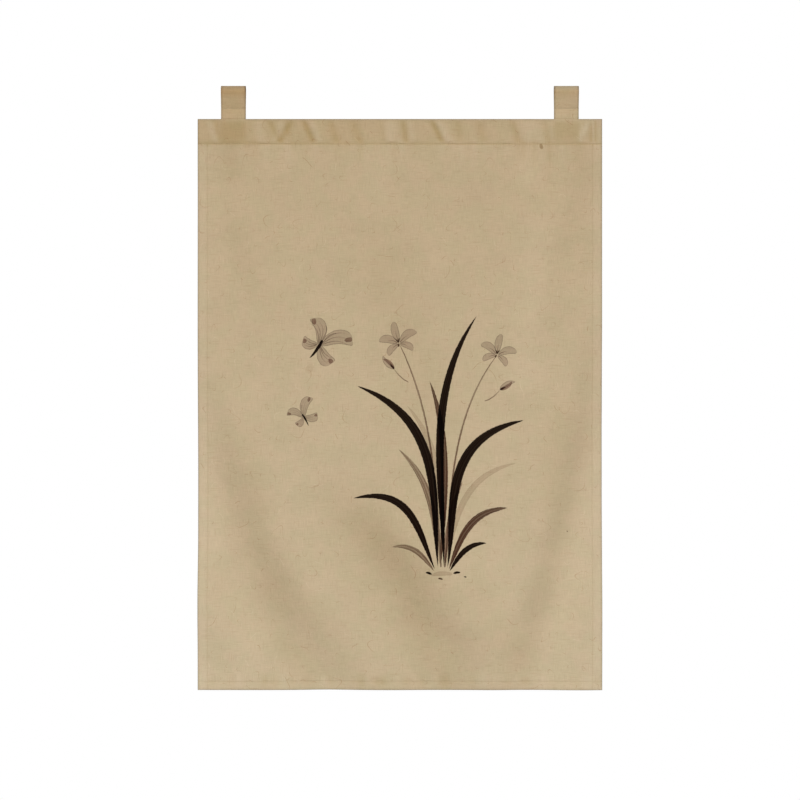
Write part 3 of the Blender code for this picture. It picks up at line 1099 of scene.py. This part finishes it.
def hem_stitches(name, side):
    """The stitches of all the hems on the panel's front or back."""
    in_edge = 0.006
    half, foot = PANEL_WIDTH / 2 - in_edge, PANEL_DROP - in_edge
    lines = (
        ((-half, HEADING_DEPTH), (half, HEADING_DEPTH)),
        ((-half, FOOT_STITCHES), (half, FOOT_STITCHES)),
        ((-SIDE_STITCHES, HEADING_DEPTH + in_edge), (-SIDE_STITCHES, foot)),
        ((SIDE_STITCHES, HEADING_DEPTH + in_edge), (SIDE_STITCHES, foot)),
    )
    middles, alongs = [], []
    for start, end in lines:
        start, end = np.array(start), np.array(end)
        length = np.linalg.norm(end - start)
        shares = (np.arange(int(length / STITCH_PITCH)) + 0.5) * STITCH_PITCH / length
        places = start + (end - start) * shares[:, None]
        step = (end - start) / length * STITCH_LENGTH / 2
        ends = []
        for corner in (places - step, places + step):
            y = faces_of_cloth(corner[:, 0], corner[:, 1])[side == "back"]
            if side == "back":
                y = np.where(over_strap(corner[:, 0], corner[:, 1]) > 0.5, STRAP + LAYER_GAP, y)
            ends.append(np.stack([corner[:, 0], y, TOP_EDGE - corner[:, 1]], -1))
        middles.append((ends[0] + ends[1]) / 2)
        alongs.append(ends[1] - ends[0])
    middles, alongs = np.concatenate(middles), np.concatenate(alongs)
    outwards = np.zeros_like(middles)
    outwards[:, 1] = 1.0 if side == "back" else -1.0
    return stitched(name, middles, alongs, outwards)


# Both faces of every hem are sewn.
front_stitches = hem_stitches("hem_stitches_front", "front")
back_stitches = hem_stitches("hem_stitches_back", "back")


# The strap loops: each is a linen strap folded double lengthwise, passed over the rod and sewn across
# under it, so that it stands open in a tear shape. Below that seam its two layers lie together and
# run down behind the heading, whose lower seam catches them.
ROD_RADIUS = 0.010
LOOP_HEIGHT = 0.046
LOOP_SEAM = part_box("loop_left")[1].z - LOOP_HEIGHT
ARC_STEPS = 26
SIDE_STEP = 0.0016
STRAP_CELL = 0.004
STRAP_EDGE_STEPS = (0.0, 0.0002, 0.0005, 0.0009)
SEAM_BELOW = 0.0014
SEAM_GROOVE = 0.0003
SEAM_GROOVE_WIDTH = 0.0012

# Their tone, as the panel's is given. A strap is darkest over the rod and pales below it. Painted
# shade darkens its sunlit top, its seam and its edges.
STRAP_SHADE = np.array((0.54, 1.00, 1.50))
WARMER_THAN_PANEL = np.array((0.00, 0.045, 0.110))
PAINTED_SHADE_ON_TOP = np.array((0.140, 0.060, -0.050))
PALER_BELOW_ROD = 0.10
PALER_PER_TONE = 0.36
PALER_AT_HEADING = 0.030
STRAP_SEAM_PAINTED_SHADE = 0.15
STRAP_EDGE_PAINTED_SHADE = 0.32


def strap_line():
    """The strap's middle line seen from its side, in (depth, height), from back to front."""
    bend = ROD_RADIUS + STRAP / 2
    apart = STRAP / 2 + LAYER_GAP
    centre = -ROD_RADIUS
    foot = TOP_EDGE - STRAP_END
    rise = centre - LOOP_SEAM
    reach = math.hypot(apart, rise)
    touch = math.acos(bend / reach) - math.atan2(rise, apart)
    turn = math.pi - 2.0 * touch
    angles = [touch + turn * step / ARC_STEPS for step in range(ARC_STEPS + 1)]
    arc = [(bend * math.cos(angle), centre + bend * math.sin(angle)) for angle in angles]
    corners = np.array([(apart, foot), (apart, LOOP_SEAM), *arc, (-apart, LOOP_SEAM), (-apart, foot)])
    points = [corners[:1]]
    for start, end in zip(corners, corners[1:]):
        count = max(1, round(math.dist(start, end) / SIDE_STEP))
        points.append(start + (end - start) * np.arange(1, count + 1)[:, None] / count)
    return np.concatenate(points)


def seam_stitches(name, middle_x):
    """The row of stitches across a strap under the rod, on its front and back."""
    in_edge = 0.003
    reach = STRAP_WIDTH / 2 - in_edge
    places = np.arange(-reach, reach, STITCH_PITCH)
    middles, outwards = [], []
    for side in (-1.0, 1.0):
        depth = side * (STRAP + LAYER_GAP - SEAM_GROOVE)
        middles += [(middle_x + place, depth, LOOP_SEAM - SEAM_BELOW) for place in places]
        outwards += [(0.0, side, 0.0)] * len(places)
    return stitched(name, middles, [(1.0, 0.0, 0.0)] * len(middles), outwards)


def strap_shade(across, below_top, off_seam, tone):
    """How much darker than plain linen a strap is along and across it, in red, green and blue."""
    roll, top_reach, rod_reach = 0.004, 0.010, 0.034
    near_heading, heading_reach = 0.052, 0.016
    seam_width, edge_reach = 0.0011, 0.0026
    paler = (PALER_BELOW_ROD + PALER_PER_TONE * tone) * eased(below_top / rod_reach)
    paler = paler + PALER_AT_HEADING * eased((below_top - near_heading) / heading_reach)
    # The strap is warmer in colour than the panel all along.
    along = (tone - paler)[:, None] * STRAP_SHADE + WARMER_THAN_PANEL
    # Painted shade on the top of the roll, where the high lamp lights it.
    along = along + fading(below_top - roll, top_reach)[:, None] * PAINTED_SHADE_ON_TOP
    # Painted shade in the seam's groove.
    along = along + STRAP_SEAM_PAINTED_SHADE * bell(off_seam, seam_width)[:, None]
    # Painted shade along the strap's edges.
    at_edge = STRAP_EDGE_PAINTED_SHADE * fading(STRAP_WIDTH / 2 - np.abs(across), edge_reach)
    return along[:, None] + at_edge[:, None]


def make_loop(name, node, middle_x, cut_at, tone):
    """One strap loop, cut from some place along the linen, and its stitches."""
    line = strap_line()
    steps = np.gradient(line, axis=0)
    steps /= np.linalg.norm(steps, axis=1, keepdims=True)
    outward = np.stack([steps[:, 1], -steps[:, 0]], -1)
    run = np.concatenate([[0.0], np.cumsum(np.linalg.norm(np.diff(line, axis=0), axis=1))])
    half = STRAP_WIDTH / 2
    marks = [mark - half for mark in STRAP_EDGE_STEPS]
    across = filled_in([*marks, *(-mark for mark in reversed(marks))], STRAP_CELL)

    rounding = rounded_off(half - np.abs(across), STRAP / 2)
    off_seam = np.abs(line[:, 1] - (LOOP_SEAM - SEAM_BELOW))
    drawn_in = SEAM_GROOVE * bell(off_seam, SEAM_GROOVE_WIDTH)[:, None]
    thickness = STRAP / 2 - rounding[None, :] - drawn_in
    x = middle_x + np.broadcast_to(across, (len(line), len(across)))
    outer = line[:, None, :] + outward[:, None, :] * thickness[..., None]
    inner = line[:, None, :] - outward[:, None, :] * thickness[..., None]
    front = np.stack([x, outer[..., 0], outer[..., 1]], -1)
    back = np.stack([x, inner[..., 0], inner[..., 1]], -1)
    place = np.stack([x, np.broadcast_to(run[:, None] + cut_at, x.shape), np.zeros_like(x)], -1)
    shade = strap_shade(across, STRAP - line[:, 1], off_seam, tone)
    strap = closed_cloth(name, front, back, place, shade)
    strap.data.materials.append(STRAP_LINEN)
    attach(strap, "root")
    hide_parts(node)
    sewing = seam_stitches(name + "_stitches", middle_x)
    return strap


STRAP_LINEN = linen("strap linen")
loop_left = make_loop("loop_left_strap", "loop_left", -LOOP_MIDDLE, cut_at=0.31, tone=0.25)
loop_right = make_loop("loop_right_strap", "loop_right", LOOP_MIDDLE, cut_at=0.67, tone=0.12)


# The studio: a plain pale floor below the hanging curtain, a large soft lamp above and in front, a
# weaker one low in front, one behind, and white all round. The camera looks straight at the panel's face.
FLOOR_DROP = 0.70
FLOOR_RADIUS = 2.4
FLOOR_SIDES = 96
HIGH_LAMP = 1.93
LOW_LAMP = 28.5
LOW_LAMP_SIZE = 1.8
BACK_LAMP = 1.10
SOFT_SUN = math.radians(25.0)
WARM_LIGHT = (1.06, 0.98, 0.86, 1.0)
WHITE = (1.0, 1.0, 1.0, 1.0)
LIGHT_ALL_ROUND = 0.36
VIEW_HALF_WIDTH = 0.8406
VIEW_LENS = 135.0
VIEW_SENSOR = 36.0
VIEW_X = 0.0002
VIEW_BELOW_TOP = 0.5905


def make_floor():
    """A plain pale disc below the curtain."""
    bpy.ops.mesh.primitive_circle_add(vertices=FLOOR_SIDES, radius=FLOOR_RADIUS, fill_type="NGON")
    floor = bpy.context.object
    floor.name = "floor"
    floor.location = (0.0, 0.0, panel_low.z - FLOOR_DROP)
    material, tree, surface = matt_material("pale floor", 0.9)
    speckle = noise(tree, tree.nodes.new("ShaderNodeTexCoord").outputs["Object"], 3.0, 3.0, "3D")[0]
    tone = calc(tree, "MULTIPLY_ADD", speckle, 0.04, 0.80)
    feed(tree, surface["Base Color"], calc_vector(tree, "SCALE", (1.0, 0.99, 0.975), tone))
    floor.data.materials.append(material)


def make_lamp(kind, place, aim, energy):
    """A lamp of a kind, turned to face a point."""
    light = bpy.data.lights.new(kind.lower() + " lamp", kind)
    light.energy = energy
    lamp = in_scene(light.name, light)
    lamp.location = place
    lamp.rotation_euler = (Vector(aim) - Vector(place)).to_track_quat("-Z", "Y").to_euler()
    return light


def make_surroundings():
    """White to look at, and a weaker white to light the cloth from all round."""
    world = bpy.data.worlds.new("studio")
    world.use_nodes = True
    tree = world.node_tree
    background = tree.nodes["Background"]
    seen = tree.nodes.new("ShaderNodeLightPath").outputs["Is Camera Ray"]
    strength = calc(tree, "MULTIPLY_ADD", seen, 1.0 - LIGHT_ALL_ROUND, LIGHT_ALL_ROUND)
    feed(tree, background.inputs["Strength"], strength)
    feed(tree, background.inputs["Color"], blended(tree, seen, WARM_LIGHT, WHITE))
    bpy.context.scene.world = world


def make_camera():
    """The camera, straight in front of the panel, as far away as its long lens needs."""
    lens = bpy.data.cameras.new("camera")
    lens.lens = VIEW_LENS
    lens.sensor_width = VIEW_SENSOR
    away = VIEW_HALF_WIDTH * VIEW_LENS / (VIEW_SENSOR / 2)
    camera = in_scene("camera", lens)
    camera.location = (VIEW_X, FRONT_FACE - away, TOP_EDGE - VIEW_BELOW_TOP)
    camera.rotation_euler = (math.pi / 2, 0.0, 0.0)
    bpy.context.scene.camera = camera


make_floor()
middle = (0.0, 0.0, TOP_EDGE - PANEL_DROP / 2)
make_lamp("SUN", (0.0, -6.0, TOP_EDGE + 5.0), middle, HIGH_LAMP).angle = SOFT_SUN
make_lamp("AREA", (0.0, -4.2, TOP_EDGE - 1.5), middle, LOW_LAMP).size = LOW_LAMP_SIZE
make_lamp("SUN", (0.0, 6.0, TOP_EDGE + 0.6), middle, BACK_LAMP).angle = SOFT_SUN
make_surroundings()
make_camera()
bpy.context.scene.view_settings.view_transform = "Standard"
